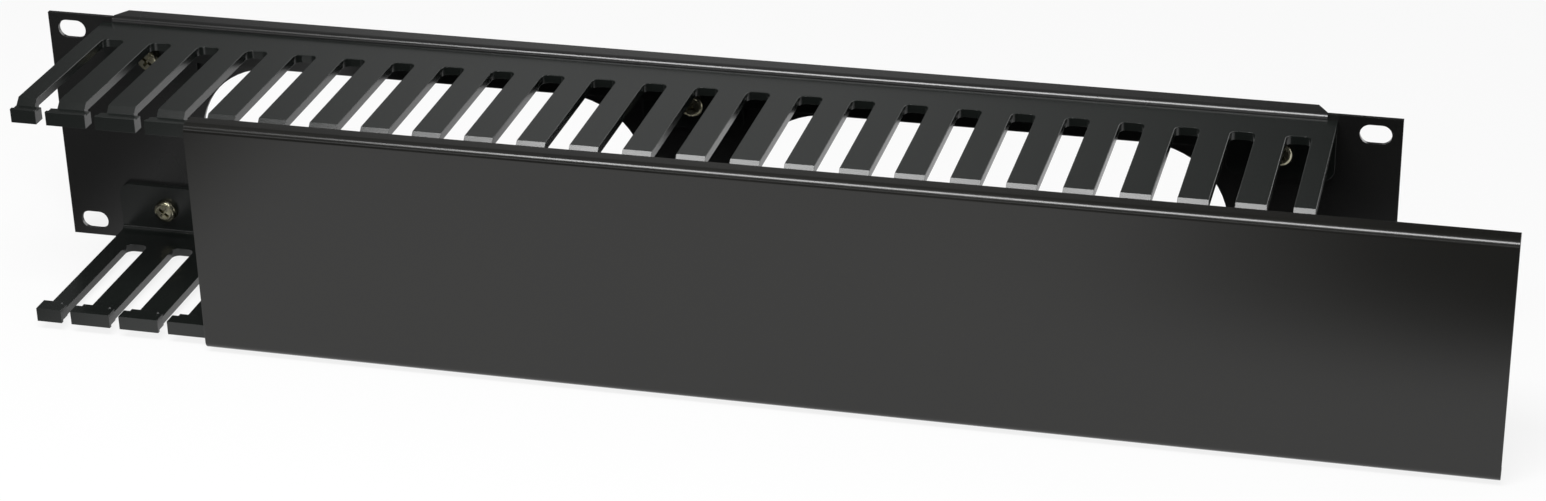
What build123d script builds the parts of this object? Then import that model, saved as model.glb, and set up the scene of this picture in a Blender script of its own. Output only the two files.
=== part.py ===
"""Two-unit horizontal cable manager for a nineteen-inch rack.

A folded steel panel bolts to the rack by its slotted ears. Two moulded finger rails are screwed
to the panel's front, one along the top and one along the bottom, and cables run between them,
out through the gaps of the fingers and back through two long windows in the panel. A channel
shaped cover slides along the tips of the fingers and stands partly drawn off to the right.

The origin is the centre of the rear face of the ears, where they meet the rack. +X is to the
right, +Z is up, and the front of the object looks along -Y. All sizes are in millimetres.
"""
import os

from build123d import *

# Steel panel with folded edges
PANEL_LENGTH = 482.6
PANEL_HEIGHT = 88.1
SHEET = 1.5
FOLD_INSIDE_RADIUS = 0.8
FLANGE_DEPTH = 7.4
FLANGE_LENGTH = 433.0
FLANGE_MITRE = 3.6

# Slots of the ears, two rack units high
RACK_SPACING_X = 465.1
RACK_SPACING_Z = 76.2
RACK_SLOT_LENGTH = 10.6
RACK_SLOT_WIDTH = 6.8

# Two windows with round ends, and the bridge left between them
WINDOW_LENGTH = 167.0
WINDOW_HEIGHT = 57.2
BRIDGE_WIDTH = 36.8

# Finger rails
RAIL_LENGTH = 440.0
RAIL_BELOW_EDGE = 2.05
RAIL_WALL = 3.0
RAIL_DEPTH = 76.0
SLOT_COUNT = 24
SLOT_PITCH = 18.17
SLOT_WIDTH = 8.2
SLOT_CORNER = 2.5
SPINE_DEPTH = 14.7
EDGE_BREAK = 0.5
EDGE_BREAK_ANGLE = 45

# Tips of the fingers, which widen to hold the cover
TIP_LENGTH = 5.0
TIP_BELOW_TOP = 1.5
TIP_GAP = 3.6
TIP_HEIGHT = 5.0
TIP_TAPER = 1.5
BEAD_LENGTH = 1.4
BEAD_HEIGHT = 0.7

# Back flange of each rail, and its three screw tabs
FLANGE_WALL = 2.5
FLANGE_HEIGHT = 12.0
FLANGE_FILLET = 2.0
TAB_WIDTH = 36.0
TAB_HEIGHT = 21.0
TAB_CORNER = 4.0

# Sliding cover
COVER_LENGTH = 438.0
COVER_WALL = 1.5
COVER_OUTER_RADIUS = 2.8
COVER_INNER_RADIUS = 1.3
COVER_DRAWN_OUT = 64.0
SLIDE_CLEARANCE = 0.3
FRONT_CLEARANCE = 2.9
HOOK_LENGTH = 1.0

# Pan-head screws, washers and nuts that hold the rails
SCREW_LENGTH = 10.0
SCREW_RADIUS = 1.95
SCREW_TIP_CHAMFER = 0.5
SCREW_BELOW_TOP = 12.0
HEAD_RADIUS = 4.2
HEAD_HEIGHT = 2.8
HEAD_EDGE_RADIUS = 1.5
RECESS_LENGTH = 4.6
RECESS_WIDTH = 1.1
RECESS_DEPTH = 1.5
RECESS_TURN = 45
SCREW_HOLE_RADIUS = 2.25
WASHER_RADIUS = 4.5
WASHER_HEIGHT = 0.8
WASHER_BORE_RADIUS = 2.15
NUT_SIDES = 6
NUT_ACROSS_FLATS = 7.0
NUT_HEIGHT = 3.2
NUT_BORE_RADIUS = 2.0

panel_front = -SHEET
rail_top = PANEL_HEIGHT / 2 - RAIL_BELOW_EDGE
rail_front = panel_front - RAIL_DEPTH
tip_rear = rail_front + TIP_LENGTH
bead_rear = rail_front + BEAD_LENGTH
tip_top = rail_top - TIP_BELOW_TOP
groove_floor = tip_top - BEAD_HEIGHT
tip_bottom = tip_top - TIP_HEIGHT
cover_half_height = tip_top + SLIDE_CLEARANCE + COVER_WALL
window_centre = (BRIDGE_WIDTH + WINDOW_LENGTH) / 2
tab_centre = (RAIL_LENGTH - TAB_WIDTH) / 2
screw_height = rail_top - SCREW_BELOW_TOP
screw_places = [(-tab_centre, screw_height), (0, screw_height), (tab_centre, screw_height)]
all_screw_places = screw_places + [(x, -z) for x, z in screw_places]


# Panel: one steel sheet, cut out flat and then folded back along the top and the bottom
fold_outside_radius = FOLD_INSIDE_RADIUS + SHEET
fold_zone = FOLD_INSIDE_RADIUS + 2 * SHEET
flange_rear = FLANGE_DEPTH - SHEET

with BuildPart() as back_panel:
    with BuildSketch(Plane.XZ):
        Rectangle(PANEL_LENGTH, PANEL_HEIGHT)
        with Locations((0, PANEL_HEIGHT / 2), (0, -PANEL_HEIGHT / 2)):
            Rectangle(FLANGE_LENGTH, 2 * fold_zone, mode=Mode.SUBTRACT)
    extrude(amount=SHEET)
    for side in (1, -1):
        edge = side * PANEL_HEIGHT / 2
        inside = side * (PANEL_HEIGHT / 2 - SHEET)
        foot = side * (PANEL_HEIGHT / 2 - fold_zone)
        with BuildSketch(Plane.YZ.offset(-FLANGE_LENGTH / 2)) as fold:
            with BuildLine():
                Polyline(
                    (panel_front, foot),
                    (panel_front, edge),
                    (flange_rear, edge),
                    (flange_rear, inside),
                    (0, inside),
                    (0, foot),
                    close=True,
                )
            make_face()
            fillet(fold.vertices().sort_by_distance((panel_front, edge))[0], fold_outside_radius)
            fillet(fold.vertices().sort_by_distance((0, inside))[0], FOLD_INSIDE_RADIUS)
        extrude(amount=FLANGE_LENGTH)
    with BuildSketch(Plane.XY.offset(-PANEL_HEIGHT / 2)):
        for side in (1, -1):
            with BuildLine():
                Polyline(
                    (side * FLANGE_LENGTH / 2, 0),
                    (side * (FLANGE_LENGTH / 2 - FLANGE_MITRE), flange_rear),
                    (side * FLANGE_LENGTH / 2, flange_rear),
                    close=True,
                )
            make_face()
    extrude(amount=PANEL_HEIGHT, mode=Mode.SUBTRACT)
    with BuildSketch(Plane.XZ):
        with GridLocations(RACK_SPACING_X, RACK_SPACING_Z, 2, 2):
            SlotOverall(RACK_SLOT_LENGTH, RACK_SLOT_WIDTH)
        with GridLocations(2 * window_centre, 0, 2, 1):
            SlotOverall(WINDOW_LENGTH, WINDOW_HEIGHT)
        with Locations(*all_screw_places):
            Circle(SCREW_HOLE_RADIUS)
    extrude(amount=SHEET, mode=Mode.SUBTRACT)


# Finger rail: a moulded angle whose shelf is slotted into fingers with wider, beaded tips
slot_rear = panel_front - SPINE_DEPTH
slot_length = slot_rear - tip_rear
slot_middle = (slot_rear + tip_rear) / 2
tip_gap_length = 2 * (TIP_LENGTH + TIP_TAPER)

with BuildSketch() as slot_shape:
    Rectangle(SLOT_WIDTH, slot_length)
    fillet(slot_shape.vertices().group_by(Axis.Y)[-1], SLOT_CORNER)

with BuildSketch() as broken_shape:
    Rectangle(SLOT_WIDTH + 2 * EDGE_BREAK, slot_length + 2 * EDGE_BREAK)
    fillet(broken_shape.vertices().group_by(Axis.Y)[-1], SLOT_CORNER + EDGE_BREAK)

with BuildPart() as upper_finger_rail:
    with BuildSketch(Plane.YZ.offset(-RAIL_LENGTH / 2)) as section:
        with BuildLine():
            Polyline(
                (panel_front, rail_top),
                (tip_rear + rail_top - groove_floor, rail_top),
                (tip_rear, groove_floor),
                (bead_rear, groove_floor),
                (bead_rear, tip_top),
                (rail_front, tip_top),
                (rail_front, tip_bottom),
                (tip_rear + TIP_TAPER, tip_bottom),
                (tip_rear + 2 * TIP_TAPER, rail_top - RAIL_WALL),
                (panel_front - FLANGE_WALL, rail_top - RAIL_WALL),
                (panel_front - FLANGE_WALL, rail_top - FLANGE_HEIGHT),
                (panel_front, rail_top - FLANGE_HEIGHT),
                close=True,
            )
        make_face()
        inner_corner = (panel_front - FLANGE_WALL, rail_top - RAIL_WALL)
        fillet(section.vertices().sort_by_distance(inner_corner)[0], FLANGE_FILLET)
    extrude(amount=RAIL_LENGTH)
    with BuildSketch(Plane.XZ.offset(-panel_front)):
        with Locations(*[(x, rail_top - TAB_HEIGHT / 2) for x, z in screw_places]):
            RectangleRounded(TAB_WIDTH, TAB_HEIGHT, TAB_CORNER)
    extrude(amount=FLANGE_WALL)
    with BuildSketch(Plane.XZ.offset(-panel_front)):
        with Locations(*screw_places):
            Circle(SCREW_HOLE_RADIUS)
    extrude(amount=FLANGE_WALL, mode=Mode.SUBTRACT)
    with BuildSketch(Plane.XY.offset(rail_top)):
        with Locations((0, slot_middle)):
            with GridLocations(SLOT_PITCH, 0, SLOT_COUNT, 1):
                add(slot_shape.sketch)
        with Locations((0, rail_front)):
            with GridLocations(SLOT_PITCH, 0, SLOT_COUNT, 1):
                Rectangle(TIP_GAP, tip_gap_length)
    extrude(amount=-(rail_top - tip_bottom), mode=Mode.SUBTRACT)
    with BuildSketch(Plane.XY.offset(rail_top)):
        with Locations((0, slot_middle)):
            with GridLocations(SLOT_PITCH, 0, SLOT_COUNT, 1):
                add(broken_shape.sketch)
    extrude(amount=-EDGE_BREAK, taper=EDGE_BREAK_ANGLE, mode=Mode.SUBTRACT)

# The lower rail is the same moulding, turned over about the depth axis
with BuildPart() as lower_finger_rail:
    add(upper_finger_rail.part, rotation=(0, 180, 0))


# Cover: a channel whose two hooked edges run in the grooves behind the beads of the tips
cover_inside = rail_front - FRONT_CLEARANCE
cover_front = cover_inside - COVER_WALL
hook_front = bead_rear + SLIDE_CLEARANCE
cover_rear = hook_front + HOOK_LENGTH
inner_half_height = cover_half_height - COVER_WALL

with BuildPart() as front_cover:
    with BuildSketch(Plane.YZ.offset(COVER_DRAWN_OUT - COVER_LENGTH / 2)) as channel:
        with BuildLine():
            Polyline(
                (cover_rear, cover_half_height),
                (cover_front, cover_half_height),
                (cover_front, -cover_half_height),
                (cover_rear, -cover_half_height),
                (cover_rear, -inner_half_height),
                (cover_inside, -inner_half_height),
                (cover_inside, inner_half_height),
                (cover_rear, inner_half_height),
                close=True,
            )
        make_face()
        for half_height in (cover_half_height, -cover_half_height):
            outer = channel.vertices().sort_by_distance((cover_front, half_height))[0]
            fillet(outer, COVER_OUTER_RADIUS)
        for half_height in (inner_half_height, -inner_half_height):
            inner = channel.vertices().sort_by_distance((cover_inside, half_height))[0]
            fillet(inner, COVER_INNER_RADIUS)
        hook_middle = (cover_rear + hook_front) / 2
        hook_height = inner_half_height - BEAD_HEIGHT / 2
        with Locations((hook_middle, hook_height), (hook_middle, -hook_height)):
            Rectangle(HOOK_LENGTH, BEAD_HEIGHT)
    extrude(amount=COVER_LENGTH)


# Fasteners: a screw through each tab, held by a washer and a nut behind the panel
head_seat = panel_front - FLANGE_WALL


def screw_group(places):
    """Pan-head screws with a cross recess, their heads seated on the tabs."""
    with BuildPart() as group:
        for x, z in places:
            axis_plane = Plane((x, head_seat, z), x_dir=(1, 0, 0), z_dir=(0, 0, 1))
            with BuildSketch(axis_plane) as half:
                with BuildLine():
                    Polyline(
                        (0, -HEAD_HEIGHT),
                        (HEAD_RADIUS, -HEAD_HEIGHT),
                        (HEAD_RADIUS, 0),
                        (SCREW_RADIUS, 0),
                        (SCREW_RADIUS, SCREW_LENGTH - SCREW_TIP_CHAMFER),
                        (SCREW_RADIUS - SCREW_TIP_CHAMFER, SCREW_LENGTH),
                        (0, SCREW_LENGTH),
                        close=True,
                    )
                make_face()
                rim = (x + HEAD_RADIUS, head_seat - HEAD_HEIGHT, z)
                fillet(half.vertices().sort_by_distance(rim)[0], HEAD_EDGE_RADIUS)
            revolve(axis=Axis((x, head_seat, z), (0, 1, 0)))
        with BuildSketch(Plane.XZ.offset(-(head_seat - HEAD_HEIGHT))):
            with Locations(*places):
                Rectangle(RECESS_LENGTH, RECESS_WIDTH, rotation=RECESS_TURN)
                Rectangle(RECESS_WIDTH, RECESS_LENGTH, rotation=RECESS_TURN)
        extrude(amount=-RECESS_DEPTH, mode=Mode.SUBTRACT)
    return group.part


def washer_group(places):
    """Plain washers against the rear face of the panel."""
    with BuildPart() as group:
        with BuildSketch(Plane.XZ):
            with Locations(*places):
                Circle(WASHER_RADIUS)
                Circle(WASHER_BORE_RADIUS, mode=Mode.SUBTRACT)
        extrude(amount=-WASHER_HEIGHT)
    return group.part


def nut_group(places):
    """Hexagon nuts on the washers."""
    with BuildPart() as group:
        with BuildSketch(Plane.XZ.offset(-WASHER_HEIGHT)):
            with Locations(*places):
                RegularPolygon(NUT_ACROSS_FLATS / 2, NUT_SIDES, major_radius=False)
                Circle(NUT_BORE_RADIUS, mode=Mode.SUBTRACT)
        extrude(amount=-NUT_HEIGHT)
    return group.part


lower_screw_places = [(x, -z) for x, z in screw_places]
pieces = {
    "back_panel": back_panel.part,
    "upper_finger_rail": upper_finger_rail.part,
    "lower_finger_rail": lower_finger_rail.part,
    "front_cover": front_cover.part,
    "upper_rail_screws": screw_group(screw_places),
    "lower_rail_screws": screw_group(lower_screw_places),
    "upper_rail_washers": washer_group(screw_places),
    "lower_rail_washers": washer_group(lower_screw_places),
    "upper_rail_nuts": nut_group(screw_places),
    "lower_rail_nuts": nut_group(lower_screw_places),
}

os.makedirs("parts", exist_ok=True)
for name, piece in pieces.items():
    piece.label = name
    export_step(piece, f"parts/{name}.step")
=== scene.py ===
"""Two-unit horizontal cable manager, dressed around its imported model.

A black folded panel carries an upper and a lower rail of moulded fingers, and a channel-shaped
cover stands drawn off to the right. Everything is in metres, in the frame of the solids: +X to
the right, +Z up, and the cover on the -Y side.
"""
from math import copysign, cos, pi, radians, sin

import bmesh
import bpy
from mathutils import Matrix, Quaternion, Vector


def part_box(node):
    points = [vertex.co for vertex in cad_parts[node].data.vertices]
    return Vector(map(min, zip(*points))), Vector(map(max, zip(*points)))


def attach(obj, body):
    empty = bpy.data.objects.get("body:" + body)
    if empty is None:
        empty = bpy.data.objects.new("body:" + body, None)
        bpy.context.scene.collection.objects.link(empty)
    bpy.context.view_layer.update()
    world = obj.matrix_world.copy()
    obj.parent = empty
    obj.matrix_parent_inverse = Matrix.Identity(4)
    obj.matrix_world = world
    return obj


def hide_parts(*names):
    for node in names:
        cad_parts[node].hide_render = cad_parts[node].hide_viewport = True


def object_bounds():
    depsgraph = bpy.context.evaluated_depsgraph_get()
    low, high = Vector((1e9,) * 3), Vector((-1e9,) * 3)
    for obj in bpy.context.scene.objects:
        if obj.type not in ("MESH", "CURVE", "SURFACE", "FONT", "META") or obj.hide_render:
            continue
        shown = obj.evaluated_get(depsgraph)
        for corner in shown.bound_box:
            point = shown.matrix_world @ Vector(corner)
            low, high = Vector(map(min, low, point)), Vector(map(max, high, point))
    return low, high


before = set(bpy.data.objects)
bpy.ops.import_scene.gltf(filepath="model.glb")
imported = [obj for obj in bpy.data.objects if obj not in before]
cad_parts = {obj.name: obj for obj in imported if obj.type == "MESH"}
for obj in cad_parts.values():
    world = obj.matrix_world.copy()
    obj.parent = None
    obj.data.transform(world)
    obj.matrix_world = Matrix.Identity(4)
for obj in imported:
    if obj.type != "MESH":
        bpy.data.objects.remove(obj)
solids_low, solids_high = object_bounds()


# Camera: it stands in front of the manager, to its right and well above it, with a long lens,
# and looks down on the fingers.
camera_place = Vector((0.2962, -1.0214, 0.4925))
camera_aim = Vector((0.0264, 0, -0.0256))
camera_roll = radians(-1.33)
camera_data = bpy.data.cameras.new("camera")
camera_data.sensor_width = 36
camera_data.lens = 77.96
camera = bpy.data.objects.new("camera", camera_data)
camera.location = camera_place
camera.rotation_mode = "QUATERNION"
looking = (camera_aim - camera_place).to_track_quat("-Z", "Y")
camera.rotation_quaternion = looking @ Quaternion((0, 0, 1), camera_roll)
bpy.context.scene.collection.objects.link(camera)
bpy.context.scene.camera = camera
bpy.context.scene.view_settings.view_transform = "Standard"


# White room: the eye sees white everywhere. Gloss sees a room that is dark in front and above,
# glows dimly behind at the left and brightly at the right, and is white along its horizon.
room_light = 0.25
front_brightness = 0.03
left_brightness = 0.4
right_brightness = 2.6
world = bpy.data.worlds.new("white_room")
bpy.context.scene.world = world
world.use_nodes = True
room = world.node_tree


def joined(tree, operation, first, second):
    """A Math node of two values, each an output of another node or a plain number."""
    node = tree.nodes.new("ShaderNodeMath")
    node.operation = operation
    for socket, value in zip(node.inputs, (first, second)):
        if isinstance(value, (int, float)):
            socket.default_value = value
        else:
            tree.links.new(value, socket)
    return node.outputs[0]


def ramped(tree, value, from_range, to_range):
    """A Map Range node that carries one range of a value over to another, without a jump."""
    node = tree.nodes.new("ShaderNodeMapRange")
    node.interpolation_type = "SMOOTHSTEP"
    node.inputs["From Min"].default_value = from_range[0]
    node.inputs["From Max"].default_value = from_range[1]
    node.inputs["To Min"].default_value = to_range[0]
    node.inputs["To Max"].default_value = to_range[1]
    tree.links.new(value, node.inputs["Value"])
    return node.outputs["Result"]


background = room.nodes["Background"]
background.inputs["Color"].default_value = (1, 1, 1, 1)
room_rays = room.nodes.new("ShaderNodeLightPath").outputs
room_place = room.nodes.new("ShaderNodeTexCoord")
room_way = room.nodes.new("ShaderNodeSeparateXYZ")
room.links.new(room_place.outputs["Generated"], room_way.inputs[0])
way_x, way_y, way_z = (room_way.outputs[name] for name in "XYZ")

# The first range of each ramp is a part of the direction looked in, which runs from -1 to 1
left_glow = joined(
    room,
    "MULTIPLY",
    ramped(room, way_x, (-0.5, -0.3), (0, left_brightness)),
    ramped(room, way_x, (-0.25, -0.01), (1, 0)),
)
right_glow = ramped(room, way_x, (0.06, 0.3), (0, right_brightness))
horizon_glow = ramped(room, way_z, (-0.02, 0.1), (1, 0))
wall_glow = joined(room, "MAXIMUM", joined(room, "ADD", left_glow, right_glow), horizon_glow)
glow_behind = joined(room, "MULTIPLY", ramped(room, way_y, (-0.2, 0.1), (0, 1)), wall_glow)
glow_in_front = ramped(room, way_y, (-0.2, 0.1), (front_brightness, 0))
seen_in_gloss = joined(room, "MAXIMUM", glow_behind, glow_in_front)
seen_by_eye = joined(
    room, "MAXIMUM", room_rays["Is Camera Ray"], room_rays["Is Transmission Ray"]
)
room_in_gloss = joined(room, "MULTIPLY", room_rays["Is Glossy Ray"], seen_in_gloss)
room_on_matt = joined(room, "MULTIPLY", room_rays["Is Diffuse Ray"], room_light)
room_strength = joined(
    room, "MAXIMUM", seen_by_eye, joined(room, "MAXIMUM", room_in_gloss, room_on_matt)
)
room.links.new(room_strength, background.inputs["Strength"])


# Floor: a white sheet that the manager stands on, lit and faintly shining, so that only soft
# shadows show. In gloss it fades to dark well in front, past the left end and at the front right.
floor_half_width = 6
floor_gap = 0.00005
floor_shine = 0.85
front_whiteness = 0.04
left_whiteness = 0.1
right_whiteness = 0.05
floor_shape = bmesh.new()
bmesh.ops.create_grid(
    floor_shape,
    x_segments=1,
    y_segments=1,
    size=floor_half_width,
    matrix=Matrix.Translation((0, 0, solids_low.z - floor_gap)),
)
floor_mesh = bpy.data.meshes.new("floor")
floor_shape.to_mesh(floor_mesh)
floor_shape.free()
floor = bpy.data.objects.new("floor", floor_mesh)
bpy.context.scene.collection.objects.link(floor)

floor_paint = bpy.data.materials.new("pale_floor")
floor_paint.use_nodes = True
sheet = floor_paint.node_tree
floor_body = sheet.nodes["Principled BSDF"]
floor_body.inputs["Roughness"].default_value = 0.9
floor_body.inputs["Specular IOR Level"].default_value = 0
floor_glow = sheet.nodes.new("ShaderNodeEmission")
floor_glow.inputs["Color"].default_value = (1, 1, 1, 1)
floor_rays = sheet.nodes.new("ShaderNodeLightPath").outputs
floor_place = sheet.nodes.new("ShaderNodeTexCoord")
floor_way = sheet.nodes.new("ShaderNodeSeparateXYZ")
sheet.links.new(floor_place.outputs["Object"], floor_way.inputs[0])
floor_x, floor_y = (floor_way.outputs[name] for name in "XY")

# The first range of each ramp is in metres along the floor
front_right = joined(
    sheet,
    "MULTIPLY",
    ramped(sheet, floor_x, (0.06, 0.29), (0, 1)),
    ramped(sheet, floor_y, (-0.23, -0.12), (1, 0)),
)
white_near = joined(
    sheet,
    "MULTIPLY",
    ramped(sheet, front_right, (0, 1), (1, right_whiteness)),
    ramped(sheet, floor_y, (-0.5, -0.29), (front_whiteness, 1)),
)
white_left = ramped(sheet, floor_x, (-0.26, -0.18), (left_whiteness, 1))
floor_whiteness = joined(sheet, "MULTIPLY", white_near, white_left)
floor_darkness = joined(sheet, "SUBTRACT", 1, floor_whiteness)
dark_in_gloss = joined(sheet, "MULTIPLY", floor_rays["Is Glossy Ray"], floor_darkness)
floor_tone = joined(sheet, "SUBTRACT", 1, dark_in_gloss)
floor_color = sheet.nodes.new("ShaderNodeMix")
floor_color.data_type = "RGBA"
floor_color.inputs["A"].default_value = (0, 0, 0, 1)
floor_color.inputs["B"].default_value = (0.86, 0.86, 0.86, 1)
sheet.links.new(floor_tone, floor_color.inputs["Factor"])
sheet.links.new(floor_color.outputs["Result"], floor_body.inputs["Base Color"])
sheet.links.new(floor_tone, floor_glow.inputs["Strength"])
floor_seen = joined(
    sheet,
    "MAXIMUM",
    floor_rays["Is Camera Ray"],
    joined(sheet, "MAXIMUM", floor_rays["Is Transmission Ray"], floor_rays["Is Glossy Ray"]),
)
floor_mix = sheet.nodes.new("ShaderNodeMixShader")
sheet.links.new(joined(sheet, "MULTIPLY", floor_seen, floor_shine), floor_mix.inputs["Fac"])
sheet.links.new(floor_body.outputs[0], floor_mix.inputs[1])
sheet.links.new(floor_glow.outputs[0], floor_mix.inputs[2])
sheet.links.new(floor_mix.outputs[0], sheet.nodes["Material Output"].inputs["Surface"])
floor_mesh.materials.append(floor_paint)


# Lamps: a broad one, high up in front, draws the bright lines along the bends and lights the
# sloped ends of the fingers. A long low one in front adds a faint second line and lights the
# screws' heads.
def studio_lamp(name, place, aim, width, height, watts):
    """A rectangular soft lamp at a place, turned towards the point that it lights."""
    lamp = bpy.data.lights.new(name, "AREA")
    lamp.shape = "RECTANGLE"
    lamp.size = width
    lamp.size_y = height
    lamp.energy = watts
    stand = bpy.data.objects.new(name, lamp)
    stand.location = place
    stand.rotation_euler = (Vector(aim) - Vector(place)).to_track_quat("-Z", "Y").to_euler()
    stand.visible_camera = False
    bpy.context.scene.collection.objects.link(stand)


studio_lamp(
    "key_lamp",
    place=(-0.15, -0.8, 0.27),
    aim=(0.02, -0.08, 0),
    width=1.2,
    height=0.1,
    watts=0.7,
)
studio_lamp(
    "overhead_lamp",
    place=(-0.03, -0.66, 1.03),
    aim=(0, -0.05, 0),
    width=0.9,
    height=0.34,
    watts=15.5,
)


# Back panel: one steel sheet, cut out flat, folded back along its top and bottom edges and
# powder coated black. The coat rounds every cut edge over and leaves a fine orange peel.
panel_edge_radius = 0.00022
coat_shine = 0.7
same_point = 0.000005
flat_within = radians(0.5)
edge_from = radians(28)
crease_from = radians(50)


def merged_copy(node):
    """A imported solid's shape with its triangles merged into whole faces."""
    shape = bmesh.new()
    shape.from_mesh(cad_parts[node].data)
    bmesh.ops.remove_doubles(shape, verts=shape.verts, dist=same_point)
    bmesh.ops.dissolve_limit(
        shape, angle_limit=flat_within, verts=shape.verts, edges=shape.edges
    )
    return shape


def softened(shape, name, edge_radius):
    """A piece from a shape, with its sharp edges rounded over.

    The faces of the rounded edges hold 1 in an attribute that marks them for a painted edge
    highlight, and all others 0.
    """
    # marks the faces of the rounded edges, which get a painted edge highlight
    edge_highlight = shape.faces.layers.float.new("painted_highlight_edge")
    sharp = [
        edge for edge in shape.edges
        if edge.is_manifold and edge.calc_face_angle() > edge_from
    ]
    rounded = bmesh.ops.bevel(
        shape,
        geom=sharp,
        offset=edge_radius,
        offset_type="OFFSET",
        affect="EDGES",
        segments=2,
        profile=0.5,
        material=-1,
        clamp_overlap=True,
    )
    for face in rounded["faces"]:
        face[edge_highlight] = 1
    return finished_mesh(shape, name)


def finished_mesh(shape, name):
    """Makes a piece of the shape, whose flat faces shade flat and whose bends shade smooth."""
    for face in shape.faces:
        face.smooth = True
    mesh = bpy.data.meshes.new(name)
    shape.to_mesh(mesh)
    shape.free()
    mesh.set_sharp_from_angle(angle=crease_from)
    piece = bpy.data.objects.new(name, mesh)
    bpy.context.scene.collection.objects.link(piece)
    weights = piece.modifiers.new("flat_faces", "WEIGHTED_NORMAL")
    weights.keep_sharp = True
    weights.weight = 80
    return piece


def group_socket(group, name, direction, kind, value=None):
    """Adds a named socket to a shader group."""
    socket = group.interface.new_socket(name=name, in_out=direction, socket_type=kind)
    if value is not None:
        socket.default_value = value


# Fine grain, used by the coat, both plastics and the plating: a height, and slow patches
fine_grain = bpy.data.node_groups.new("fine_grain", "ShaderNodeTree")
group_socket(fine_grain, "Grains per Metre", "INPUT", "NodeSocketFloat", 1500)
group_socket(fine_grain, "Patches per Metre", "INPUT", "NodeSocketFloat", 12)
group_socket(fine_grain, "Stretch", "INPUT", "NodeSocketVector", (1, 1, 1))
group_socket(fine_grain, "Height", "OUTPUT", "NodeSocketFloat")
group_socket(fine_grain, "Patches", "OUTPUT", "NodeSocketFloat")
grain_in = fine_grain.nodes.new("NodeGroupInput")
grain_out = fine_grain.nodes.new("NodeGroupOutput")
grain_place = fine_grain.nodes.new("ShaderNodeTexCoord")
grain_stretch = fine_grain.nodes.new("ShaderNodeVectorMath")
grain_stretch.operation = "MULTIPLY"
grain_noise = fine_grain.nodes.new("ShaderNodeTexNoise")
grain_noise.inputs["Detail"].default_value = 3
grain_patches = fine_grain.nodes.new("ShaderNodeTexNoise")
grain_patches.inputs["Detail"].default_value = 2
grain_links = fine_grain.links
grain_links.new(grain_place.outputs["Object"], grain_stretch.inputs[0])
grain_links.new(grain_in.outputs["Stretch"], grain_stretch.inputs[1])
grain_links.new(grain_stretch.outputs[0], grain_noise.inputs["Vector"])
grain_links.new(grain_in.outputs["Grains per Metre"], grain_noise.inputs["Scale"])
grain_links.new(grain_place.outputs["Object"], grain_patches.inputs["Vector"])
grain_links.new(grain_in.outputs["Patches per Metre"], grain_patches.inputs["Scale"])
grain_links.new(grain_noise.outputs["Fac"], grain_out.inputs["Height"])
grain_links.new(grain_patches.outputs["Fac"], grain_out.inputs["Patches"])

# Painted edge highlights, used by the coat and both plastics: the rounded edges are painted
# lighter, unevenly along their length
edge_highlight_paint = bpy.data.node_groups.new("edge_highlight_paint", "ShaderNodeTree")
group_socket(edge_highlight_paint, "Surface", "INPUT", "NodeSocketColor", (0, 0, 0, 1))
group_socket(edge_highlight_paint, "Highlight", "INPUT", "NodeSocketColor", (1, 1, 1, 1))
group_socket(edge_highlight_paint, "Amount", "INPUT", "NodeSocketFloat", 0.5)
group_socket(edge_highlight_paint, "Color", "OUTPUT", "NodeSocketColor")
glint_in = edge_highlight_paint.nodes.new("NodeGroupInput")
glint_out = edge_highlight_paint.nodes.new("NodeGroupOutput")
glint_edge = edge_highlight_paint.nodes.new("ShaderNodeAttribute")
glint_edge.attribute_name = "painted_highlight_edge"
glint_place = edge_highlight_paint.nodes.new("ShaderNodeTexCoord")
glint_noise = edge_highlight_paint.nodes.new("ShaderNodeTexNoise")
glint_noise.inputs["Scale"].default_value = 90
glint_noise.inputs["Detail"].default_value = 4
glint_uneven = edge_highlight_paint.nodes.new("ShaderNodeMapRange")
glint_uneven.inputs["From Min"].default_value = 0.35
glint_uneven.inputs["From Max"].default_value = 0.65
glint_mask = joined(
    edge_highlight_paint, "MULTIPLY", glint_uneven.outputs["Result"], glint_edge.outputs["Fac"]
)
glint_share = joined(edge_highlight_paint, "MULTIPLY", glint_mask, glint_in.outputs["Amount"])
glint_mix = edge_highlight_paint.nodes.new("ShaderNodeMix")
glint_mix.data_type = "RGBA"
glint_links = edge_highlight_paint.links
glint_links.new(glint_place.outputs["Object"], glint_noise.inputs["Vector"])
glint_links.new(glint_noise.outputs["Fac"], glint_uneven.inputs["Value"])
glint_links.new(glint_share, glint_mix.inputs["Factor"])
glint_links.new(glint_in.outputs["Surface"], glint_mix.inputs["A"])
glint_links.new(glint_in.outputs["Highlight"], glint_mix.inputs["B"])
glint_links.new(glint_mix.outputs["Result"], glint_out.inputs["Color"])


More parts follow.
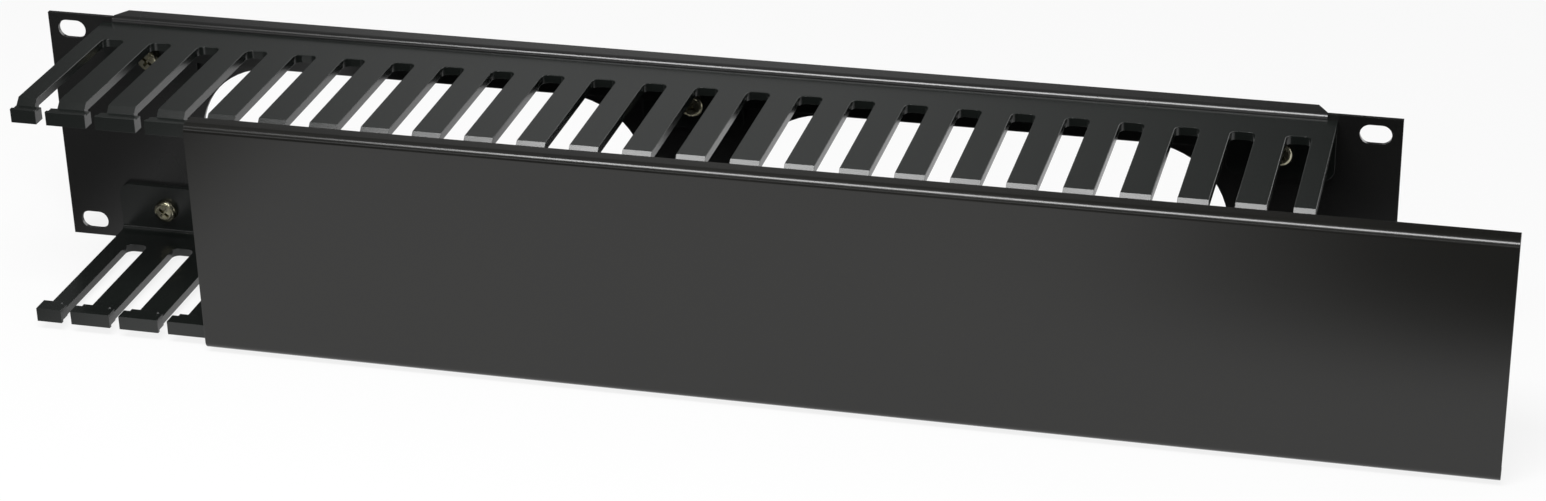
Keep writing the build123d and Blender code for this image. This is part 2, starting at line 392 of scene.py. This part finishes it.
def black_finish(name, dark, light, edge_highlight, highlight_share, grains, stretch, depth, smoothest, roughest):
    """A black coat or plastic: patchy between two tones, grained, and with a painted highlight on
    its rounded edges.
    """
    material = bpy.data.materials.new(name)
    material.use_nodes = True
    nodes = material.node_tree.nodes
    links = material.node_tree.links
    body = nodes["Principled BSDF"]
    grain = nodes.new("ShaderNodeGroup")
    grain.node_tree = fine_grain
    grain.inputs["Grains per Metre"].default_value = grains
    grain.inputs["Stretch"].default_value = stretch
    tone = nodes.new("ShaderNodeMix")
    tone.data_type = "RGBA"
    tone.inputs["A"].default_value = dark
    tone.inputs["B"].default_value = light
    edges = nodes.new("ShaderNodeGroup")
    edges.node_tree = edge_highlight_paint
    # painted edge highlight: the rounded edges are painted in this lighter colour
    edges.inputs["Highlight"].default_value = edge_highlight
    edges.inputs["Amount"].default_value = highlight_share
    roughness = nodes.new("ShaderNodeMapRange")
    roughness.inputs["From Min"].default_value = 0.3
    roughness.inputs["From Max"].default_value = 0.7
    roughness.inputs["To Min"].default_value = smoothest
    roughness.inputs["To Max"].default_value = roughest
    bump = nodes.new("ShaderNodeBump")
    bump.inputs["Strength"].default_value = 1
    bump.inputs["Distance"].default_value = depth
    links.new(grain.outputs["Patches"], tone.inputs["Factor"])
    links.new(tone.outputs["Result"], edges.inputs["Surface"])
    links.new(edges.outputs["Color"], body.inputs["Base Color"])
    links.new(grain.outputs["Patches"], roughness.inputs["Value"])
    links.new(roughness.outputs["Result"], body.inputs["Roughness"])
    links.new(grain.outputs["Height"], bump.inputs["Height"])
    links.new(bump.outputs["Normal"], body.inputs["Normal"])
    return material


powder_coat = black_finish(
    "powder_coat",
    dark=(0.005, 0.0051, 0.005, 1),
    light=(0.008, 0.0081, 0.0078, 1),
    # painted edge highlight on the coat's rounded edges
    edge_highlight=(0.03, 0.0305, 0.03, 1),
    highlight_share=0.5,
    grains=1300,
    stretch=(1, 1, 1),
    depth=0.000008,
    smoothest=0.22,
    roughest=0.28,
)
coat_body = powder_coat.node_tree.nodes["Principled BSDF"]
coat_body.inputs["Specular IOR Level"].default_value = coat_shine
panel = softened(merged_copy("back_panel"), "folded_panel", panel_edge_radius)
panel.data.materials.append(powder_coat)
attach(panel, "duct")
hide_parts("back_panel")


# Finger rails: two mouldings of one tool in black plastic, the lower one turned over. Three
# screw tabs hold each to the panel, and the cover's hooks run behind the beads of the tips.
rail_edge_radius = 0.00012
packed_edge_break = 0.0005
edge_break_share = 0.3
slope_from_front = 0.0072
same_place = 0.00001
rail_black = black_finish(
    "rail_plastic",
    dark=(0.006, 0.0076, 0.0068, 1),
    light=(0.009, 0.0108, 0.0098, 1),
    # painted edge highlight on the rails' rounded edges
    edge_highlight=(0.03, 0.034, 0.032, 1),
    highlight_share=0.5,
    grains=2600,
    stretch=(1, 1, 1),
    depth=0.000004,
    smoothest=0.2,
    roughest=0.26,
)


def finely_broken(shape, outer_face, slope_top):
    """Narrows the slots' broken edges on a rail's outer face to what the tool really leaves.

    The outer face is a height along Z, and the slope at a finger's end starts at slope_top along Y.
    """
    foot_face = outer_face - copysign(packed_edge_break, outer_face)
    for top in shape.verts:
        if abs(top.co.z - outer_face) > same_place:
            continue
        around = [edge.other_vert(top) for edge in top.link_edges]
        feet = [vert for vert in around if abs(vert.co.z - foot_face) < same_place]
        if not feet:
            continue
        foot = min(feet, key=lambda vert: (vert.co - top.co).length)
        top.co.x = foot.co.x + edge_break_share * (top.co.x - foot.co.x)
        if abs(top.co.y - slope_top) > same_place:
            top.co.y = foot.co.y + edge_break_share * (top.co.y - foot.co.y)
    for foot in shape.verts:
        if abs(foot.co.z - foot_face) < same_place:
            foot.co.z = outer_face + edge_break_share * (foot_face - outer_face)
            if abs(foot.co.y - slope_top + packed_edge_break) < same_place:
                foot.co.y = slope_top - edge_break_share * packed_edge_break


for node, name in (
    ("upper_finger_rail", "upper_finger_moulding"),
    ("lower_finger_rail", "lower_finger_moulding"),
):
    rail_shape = merged_copy(node)
    rail_low, rail_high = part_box(node)
    rail_outer_face = max(rail_low.z, rail_high.z, key=abs)
    finely_broken(rail_shape, rail_outer_face, rail_low.y + slope_from_front)
    rail = softened(rail_shape, name, rail_edge_radius)
    rail.data.materials.append(rail_black)
    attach(rail, "duct")
    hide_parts(node)


# Cover: one extruded channel of black plastic, sawn to length. Its two edges turn in to small
# hooks, its bends are smooth, and the die leaves faint lines along its whole length.
cover_edge_radius = 0.0002
front_shine = 0.5
# shine of the cover's face that looks up, lowered as painted shade
shaded_top_shine = 0.2
cover = softened(merged_copy("front_cover"), "sliding_cover", cover_edge_radius)
cover_black = black_finish(
    "cover_plastic",
    dark=(0.0068, 0.0069, 0.0064, 1),
    light=(0.0105, 0.0102, 0.0088, 1),
    # painted edge highlight on the cover's rounded edges
    edge_highlight=(0.05, 0.05, 0.047, 1),
    highlight_share=0.5,
    grains=2200,
    stretch=(0.02, 1, 1),
    depth=0.000003,
    smoothest=0.19,
    roughest=0.25,
)

# Painted shade: the face that looks up is given less shine than the broad front, so the cover's top
# renders darker
cover_tree = cover_black.node_tree
cover_facing = cover_tree.nodes.new("ShaderNodeNewGeometry")
cover_way = cover_tree.nodes.new("ShaderNodeSeparateXYZ")
cover_tree.links.new(cover_facing.outputs["Normal"], cover_way.inputs[0])
# painted shade: the shine falls from the front's to the lower top value as the face turns upward
cover_shine = ramped(cover_tree, cover_way.outputs["Z"], (0.85, 0.99), (front_shine, shaded_top_shine))
cover_body = cover_tree.nodes["Principled BSDF"]
cover_tree.links.new(cover_shine, cover_body.inputs["Specular IOR Level"])
cover.data.materials.append(cover_black)
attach(cover, "cover")
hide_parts("front_cover")


# Fasteners: three pan-head screws hold each rail, each through a tab and the panel, with a plain
# washer and a hexagon nut behind. They are headed, rolled and stamped steel, zinc plated with a
# faint yellow passivation.
screw_length = 0.01
screw_core_radius = 0.0016
screw_tip_break = 0.0004
thread_radius = 0.00195
thread_pitch = 0.0007
thread_half_width = 0.0003
thread_root = 0.0001
thread_start = 0.0008
thread_end = 0.001
head_radius = 0.0042
head_height = 0.0028
head_flat_radius = 0.0015
head_dome = 0.00002
head_round_width = 0.0015
head_round_height = 0.0014
head_round_foot = 0.0013
head_seat_break = 0.00015
recess_reach = 0.0023
recess_half_width = 0.00055
recess_depth = 0.0015
recess_taper = 0.55
recess_turn = radians(38)
recess_clear = 0.00002
washer_radius = 0.0045
washer_bore = 0.00215
washer_height = 0.0008
washer_break = 0.00007
nut_corner_radius = 0.007 / 2 / cos(pi / 6)
nut_height = 0.0032
nut_bore = 0.002
nut_sink = 0.0003
nut_crown = 0.0035
nut_crown_height = 0.0004
nut_crown_clear = 0.0001
same_turned_point = 0.000001

plating = bpy.data.materials.new("bright_plating")
plating.use_nodes = True
plating_nodes = plating.node_tree.nodes
plating_links = plating.node_tree.links
plating_body = plating_nodes["Principled BSDF"]
plating_body.inputs["Metallic"].default_value = 1
plating_grain = plating_nodes.new("ShaderNodeGroup")
plating_grain.node_tree = fine_grain
plating_grain.inputs["Grains per Metre"].default_value = 900
plating_grain.inputs["Patches per Metre"].default_value = 420
plating_tone = plating_nodes.new("ShaderNodeMix")
plating_tone.data_type = "RGBA"
plating_tone.inputs["A"].default_value = (0.5, 0.48, 0.4, 1)
plating_tone.inputs["B"].default_value = (0.34, 0.32, 0.19, 1)
plating_rough = plating_nodes.new("ShaderNodeMapRange")
plating_rough.inputs["To Min"].default_value = 0.12
plating_rough.inputs["To Max"].default_value = 0.36
plating_bump = plating_nodes.new("ShaderNodeBump")
plating_bump.inputs["Distance"].default_value = 0.00002
plating_links.new(plating_grain.outputs["Patches"], plating_tone.inputs["Factor"])
plating_links.new(plating_tone.outputs["Result"], plating_body.inputs["Base Color"])
plating_links.new(plating_grain.outputs["Patches"], plating_rough.inputs["Value"])
plating_links.new(plating_rough.outputs["Result"], plating_body.inputs["Roughness"])
plating_links.new(plating_grain.outputs["Height"], plating_bump.inputs["Height"])
plating_links.new(plating_bump.outputs["Normal"], plating_body.inputs["Normal"])


def turned(outline, steps=48):
    """A shape turned about the Y axis, from an outline of radii and heights along Y."""
    shape = bmesh.new()
    points = [shape.verts.new((radius, height, 0)) for radius, height in outline]
    for pair in zip(points, points[1:]):
        shape.edges.new(pair)
    bmesh.ops.spin(
        shape,
        geom=shape.verts[:] + shape.edges[:],
        cent=(0, 0, 0),
        axis=(0, 1, 0),
        dvec=(0, 0, 0),
        angle=2 * pi,
        steps=steps,
        use_merge=True,
    )
    bmesh.ops.remove_doubles(shape, verts=shape.verts, dist=same_turned_point)
    bmesh.ops.recalc_face_normals(shape, faces=shape.faces)
    return shape


def as_mesh(shape):
    """The mesh of a shape that is done."""
    mesh = bpy.data.meshes.new("work")
    shape.to_mesh(mesh)
    shape.free()
    return mesh


def worked(mesh, tool, operation):
    """A mesh with a tool's mesh taken away from it, or kept only inside that tool's mesh."""
    work = bpy.data.objects.new("work", mesh)
    cutter = bpy.data.objects.new("cutter", tool)
    for piece in (work, cutter):
        bpy.context.scene.collection.objects.link(piece)
    step = work.modifiers.new("step", "BOOLEAN")
    step.object = cutter
    step.operation = operation
    step.solver = "EXACT"
    graph = bpy.context.evaluated_depsgraph_get()
    result = bpy.data.meshes.new_from_object(work.evaluated_get(graph))
    for piece in (work, cutter):
        bpy.data.objects.remove(piece)
    return result


def crossed_recess():
    """The tapered cross that is punched into a screw's head, turned to where the screws stopped."""
    shape = bmesh.new()
    corner = [
        (recess_reach, -recess_half_width),
        (recess_reach, recess_half_width),
        (recess_half_width, recess_half_width),
    ]
    outline = []
    for turn in range(4):
        for x, z in corner:
            spot = Quaternion((0, 1, 0), -turn * pi / 2) @ Vector((x, 0, z))
            outline.append(shape.verts.new(spot))
    face = shape.faces.new(outline)
    sunk = bmesh.ops.extrude_face_region(shape, geom=[face])["geom"]
    deep = [item for item in sunk if isinstance(item, bmesh.types.BMVert)]
    bmesh.ops.scale(shape, vec=(recess_taper, 1, recess_taper), verts=deep)
    bmesh.ops.translate(shape, vec=(0, recess_depth, 0), verts=deep)
    bmesh.ops.translate(shape, vec=(0, -head_height - recess_clear, 0), verts=shape.verts)
    bmesh.ops.rotate(shape, matrix=Matrix.Rotation(recess_turn, 3, "Y"), verts=shape.verts)
    bmesh.ops.recalc_face_normals(shape, faces=shape.faces)
    return as_mesh(shape)


def pan_head_screw():
    """A screw with its head's seat at the origin, its head towards -Y and its thread rolled."""
    round_steps = 8
    round_edge = []
    for step in range(round_steps + 1):
        turn = step * pi / 2 / round_steps
        radius = head_radius - head_round_width + head_round_width * sin(turn)
        round_edge.append((radius, -head_round_foot - head_round_height * cos(turn)))
    shape = turned([
        (0, -head_height),
        (head_flat_radius, -head_height + head_dome),
        *round_edge,
        (head_radius, -head_seat_break),
        (head_radius - head_seat_break, 0),
        (screw_core_radius, 0),
        (screw_core_radius, screw_length - screw_tip_break),
        (screw_core_radius - screw_tip_break, screw_length),
        (0, screw_length),
    ])
    screw = bmesh.new()
    screw.from_mesh(worked(as_mesh(shape), crossed_recess(), "DIFFERENCE"))
    ridge = [
        screw.verts.new(spot)
        for spot in (
            (screw_core_radius - thread_root, thread_start - thread_half_width, 0),
            (thread_radius, thread_start, 0),
            (screw_core_radius - thread_root, thread_start + thread_half_width, 0),
        )
    ]
    steps_per_turn = 24
    turns = (screw_length - thread_start - thread_end) / thread_pitch
    start = screw.faces.new(ridge)
    bmesh.ops.spin(
        screw,
        geom=[start, *start.edges, *start.verts],
        cent=(0, 0, 0),
        axis=(0, 1, 0),
        dvec=(0, thread_pitch / steps_per_turn, 0),
        angle=2 * pi * turns,
        steps=round(turns * steps_per_turn),
    )
    bmesh.ops.recalc_face_normals(screw, faces=screw.faces)
    return as_mesh(screw)


def plain_washer():
    """A stamped washer with its front face at the origin."""
    inner, outer, edge = washer_bore, washer_radius, washer_break
    rim = [
        (inner, edge),
        (inner + edge, 0),
        (outer - edge, 0),
        (outer, edge),
        (outer, washer_height - edge),
        (outer - edge, washer_height),
        (inner + edge, washer_height),
        (inner, washer_height - edge),
    ]
    return as_mesh(turned([*rim, rim[0]]))


def hexagon_nut():
    """A nut with its front face at the origin, its corners crowned and its bore countersunk."""
    shape = bmesh.new()
    bmesh.ops.create_circle(
        shape,
        cap_ends=True,
        segments=6,
        radius=nut_corner_radius,
        matrix=Matrix.Rotation(-pi / 2, 4, "X") @ Matrix.Rotation(pi / 6, 4, "Z"),
    )
    raised = bmesh.ops.extrude_face_region(shape, geom=shape.faces[:])["geom"]
    bmesh.ops.translate(
        shape,
        vec=(0, nut_height, 0),
        verts=[item for item in raised if isinstance(item, bmesh.types.BMVert)],
    )
    bmesh.ops.recalc_face_normals(shape, faces=shape.faces)
    wide = nut_corner_radius + nut_crown_clear
    barrel = as_mesh(turned([
        (0, 0),
        (nut_crown, 0),
        (wide, nut_crown_height),
        (wide, nut_height - nut_crown_height),
        (nut_crown, nut_height),
        (0, nut_height),
    ]))
    bore = as_mesh(turned([
        (0, -nut_sink),
        (nut_bore + 2 * nut_sink, -nut_sink),
        (nut_bore, nut_sink),
        (nut_bore, nut_height - nut_sink),
        (nut_bore + 2 * nut_sink, nut_height + nut_sink),
        (0, nut_height + nut_sink),
    ]))
    return worked(worked(as_mesh(shape), barrel, "INTERSECT"), bore, "DIFFERENCE")


def three_in_place(node, name, mesh, seat, reach):
    """Three like fasteners at a node's two ends and middle, each at its seat along Y.

    The reach is how far one of them stretches along X from its own middle.
    """
    low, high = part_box(node)
    shape = bmesh.new()
    for side in (-1, 0, 1):
        place = (side * (high.x - reach), seat, (low.z + high.z) / 2)
        placed_before = len(shape.verts)
        shape.from_mesh(mesh)
        shape.verts.ensure_lookup_table()
        bmesh.ops.translate(shape, vec=place, verts=shape.verts[placed_before:])
    group = finished_mesh(shape, name)
    group.data.materials.append(plating)
    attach(group, "duct")
    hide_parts(node)


screw_mesh = pan_head_screw()
washer_mesh = plain_washer()
nut_mesh = hexagon_nut()
for rail_name in ("upper", "lower"):
    head_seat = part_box(f"{rail_name}_rail_screws")[0].y + head_height
    for kind, form, mesh, seat, reach in (
        ("screws", "pan_screws", screw_mesh, head_seat, head_radius),
        ("washers", "plain_washers", washer_mesh, 0, washer_radius),
        ("nuts", "hexagon_nuts", nut_mesh, washer_height, nut_corner_radius),
    ):
        three_in_place(f"{rail_name}_rail_{kind}", f"{rail_name}_{form}", mesh, seat, reach)
